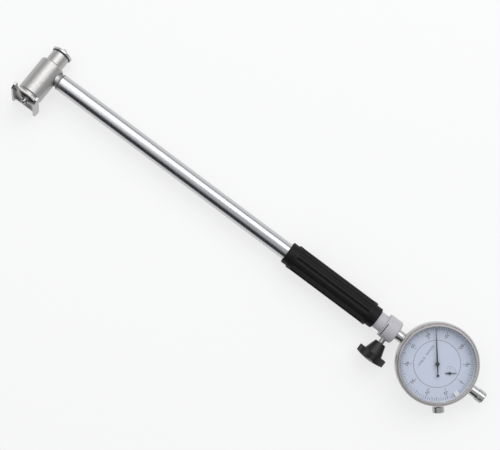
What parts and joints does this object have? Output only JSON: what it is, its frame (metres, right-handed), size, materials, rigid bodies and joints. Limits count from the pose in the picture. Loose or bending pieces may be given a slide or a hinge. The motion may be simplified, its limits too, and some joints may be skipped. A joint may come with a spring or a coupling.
{
  "type": "dial bore gauge",
  "caption": "Long-stemmed inside-diameter gauge with an angled centring head, fluted grip, clamp with a star knob, and a round dial on top.",
  "frame": {"origin": "on the stem tube's axis, at the tube's end nearest the head", "axes": "+X along the stem towards the dial, +Y to the side of the fixed anvil, +Z out of the dial's face; the gauge lies level on the plane Z = -11.65 mm"},
  "size_m": [0.3961, 0.0608, 0.0349],
  "materials": {
    "head_steel": "satin nickel-plated steel",
    "steel_polished": "polished hard chrome",
    "bright_steel": "ground bright steel",
    "tip_hard": "lapped hard metal",
    "brass_bush": "turned brass",
    "seal_black": "matt black seal",
    "grip_black": "near-black satin moulding",
    "clamp_grey": "bead-blasted light grey",
    "knob_black": "black moulded phenolic",
    "case_grey": "satin grey case",
    "bezel_chrome": "satin chrome bezel",
    "face_white": "matt white print ground",
    "hand_black": "thin black-lacquered aluminium",
    "crystal_clear": "clear crystal",
    "spring_wire": "spring wire",
    "marker_white": "white tab"
  },
  "bodies": {
    "gauge": {"head_body": "head_steel", "anvil_socket": "head_steel", "anvil_seal": "seal_black", "anvil_lock_nut": "bright_steel", "fixed_anvil": "tip_hard", "contact_bush": "brass_bush", "crank_pin": "bright_steel", "stem_collar": "head_steel", "stem_seal": "seal_black", "stem_tube": "steel_polished", "rod_bush_front": "brass_bush", "rod_bush_middle": "brass_bush", "rod_bush_rear": "brass_bush", "grip_sleeve": "grip_black", "clamp_sleeve": "clamp_grey", "clamp_pad": "brass_bush", "bridge_spring": "spring_wire", "rod_spring": "spring_wire"},
    "bridge": {"guide_bridge": "head_steel"},
    "contact": {"movable_contact": "bright_steel", "contact_tip": "tip_hard"},
    "lever": {"bell_crank": "bright_steel"},
    "rod": {"push_rod": "bright_steel"},
    "knob": {"clamp_screw": "bright_steel", "star_knob": "knob_black"},
    "dial": {"dial_case": "case_grey", "back_cover": "case_grey", "back_screws": "bright_steel", "dial_stem": "bright_steel", "guard_tube": "bright_steel", "guard_cap": "bright_steel", "center_disc": "face_white"},
    "spindle": {"dial_spindle": "bright_steel", "contact_point": "bright_steel"},
    "pointer": {"main_pointer": "hand_black"},
    "counter": {"counter_hand": "hand_black"},
    "bezel": {"bezel_ring": "bezel_chrome", "crystal": "crystal_clear", "scale_ring": "face_white"},
    "marker": {"tolerance_marker": "marker_white"},
    "lock": {"bezel_lock_screw": "bright_steel"}
  },
  "joints": [
    {"name": "rod_slide", "type": "slide", "parent": "gauge", "child": "rod", "axis": [1, 0, 0], "range_m": [0, 0.0016], "stiffness_N_per_m": 500, "springref_m": -0.004, "deforming": ["rod_spring"]},
    {"name": "contact_slide", "type": "slide", "parent": "gauge", "child": "contact", "axis": [0, 0.9711, -0.2385], "range_m": [0, 0.0016]},
    {"name": "lever_tilt", "type": "hinge", "parent": "gauge", "child": "lever", "pos_m": [-0.0075, -0.00437, 0.00107], "axis": [0, -0.2385, -0.9711], "range_deg": [0, 20.38]},
    {"name": "spindle_slide", "type": "slide", "parent": "dial", "child": "spindle", "axis": [1, 0, 0], "range_m": [0, 0.0016]},
    {"name": "pointer_turn", "type": "hinge", "parent": "dial", "child": "pointer", "pos_m": [0.3317, 0, 0], "axis": [0, 0, -1], "range_deg": [0, 576.1]},
    {"name": "counter_turn", "type": "hinge", "parent": "dial", "child": "counter", "pos_m": [0.3426, 0, 0], "axis": [0, 0, 1], "range_deg": [0, 62.45]},
    {"name": "bridge_slide", "type": "slide", "parent": "gauge", "child": "bridge", "axis": [0, 0.9711, -0.2385], "range_m": [0, 0.002], "stiffness_N_per_m": 2000, "springref_m": -0.002, "deforming": ["bridge_spring"]},
    {"name": "knob_turn", "type": "hinge", "parent": "gauge", "child": "knob", "pos_m": [0.292, -0.012, 0], "axis": [0, -1, 0], "range_deg": [0, 360]},
    {"name": "dial_pull", "type": "slide", "parent": "gauge", "child": "dial", "axis": [1, 0, 0], "range_m": [0, 0.04]},
    {"name": "bezel_turn", "type": "hinge", "parent": "dial", "child": "bezel", "pos_m": [0.3317, 0, 0.004], "axis": [0, 0, 1], "continuous": true},
    {"name": "marker_turn", "type": "hinge", "parent": "bezel", "child": "marker", "pos_m": [0.3317, 0, 0.008], "axis": [0, 0, 1], "range_deg": [-90, 90]},
    {"name": "lock_turn", "type": "hinge", "parent": "dial", "child": "lock", "pos_m": [0.3317, 0, -0.0015], "axis": [0.6481, -0.7615, 0], "range_deg": [0, 360]}
  ],
  "couplings": [
    {"joint": "contact_slide", "follows": "rod_slide", "ratio": 1},
    {"joint": "spindle_slide", "follows": "rod_slide", "ratio": 1},
    {"joint": "lever_tilt", "follows": "rod_slide", "rad_per_m": 222.22},
    {"joint": "pointer_turn", "follows": "rod_slide", "rad_per_m": 6283.2},
    {"joint": "counter_turn", "follows": "rod_slide", "rad_per_m": 680.68}
  ]
}
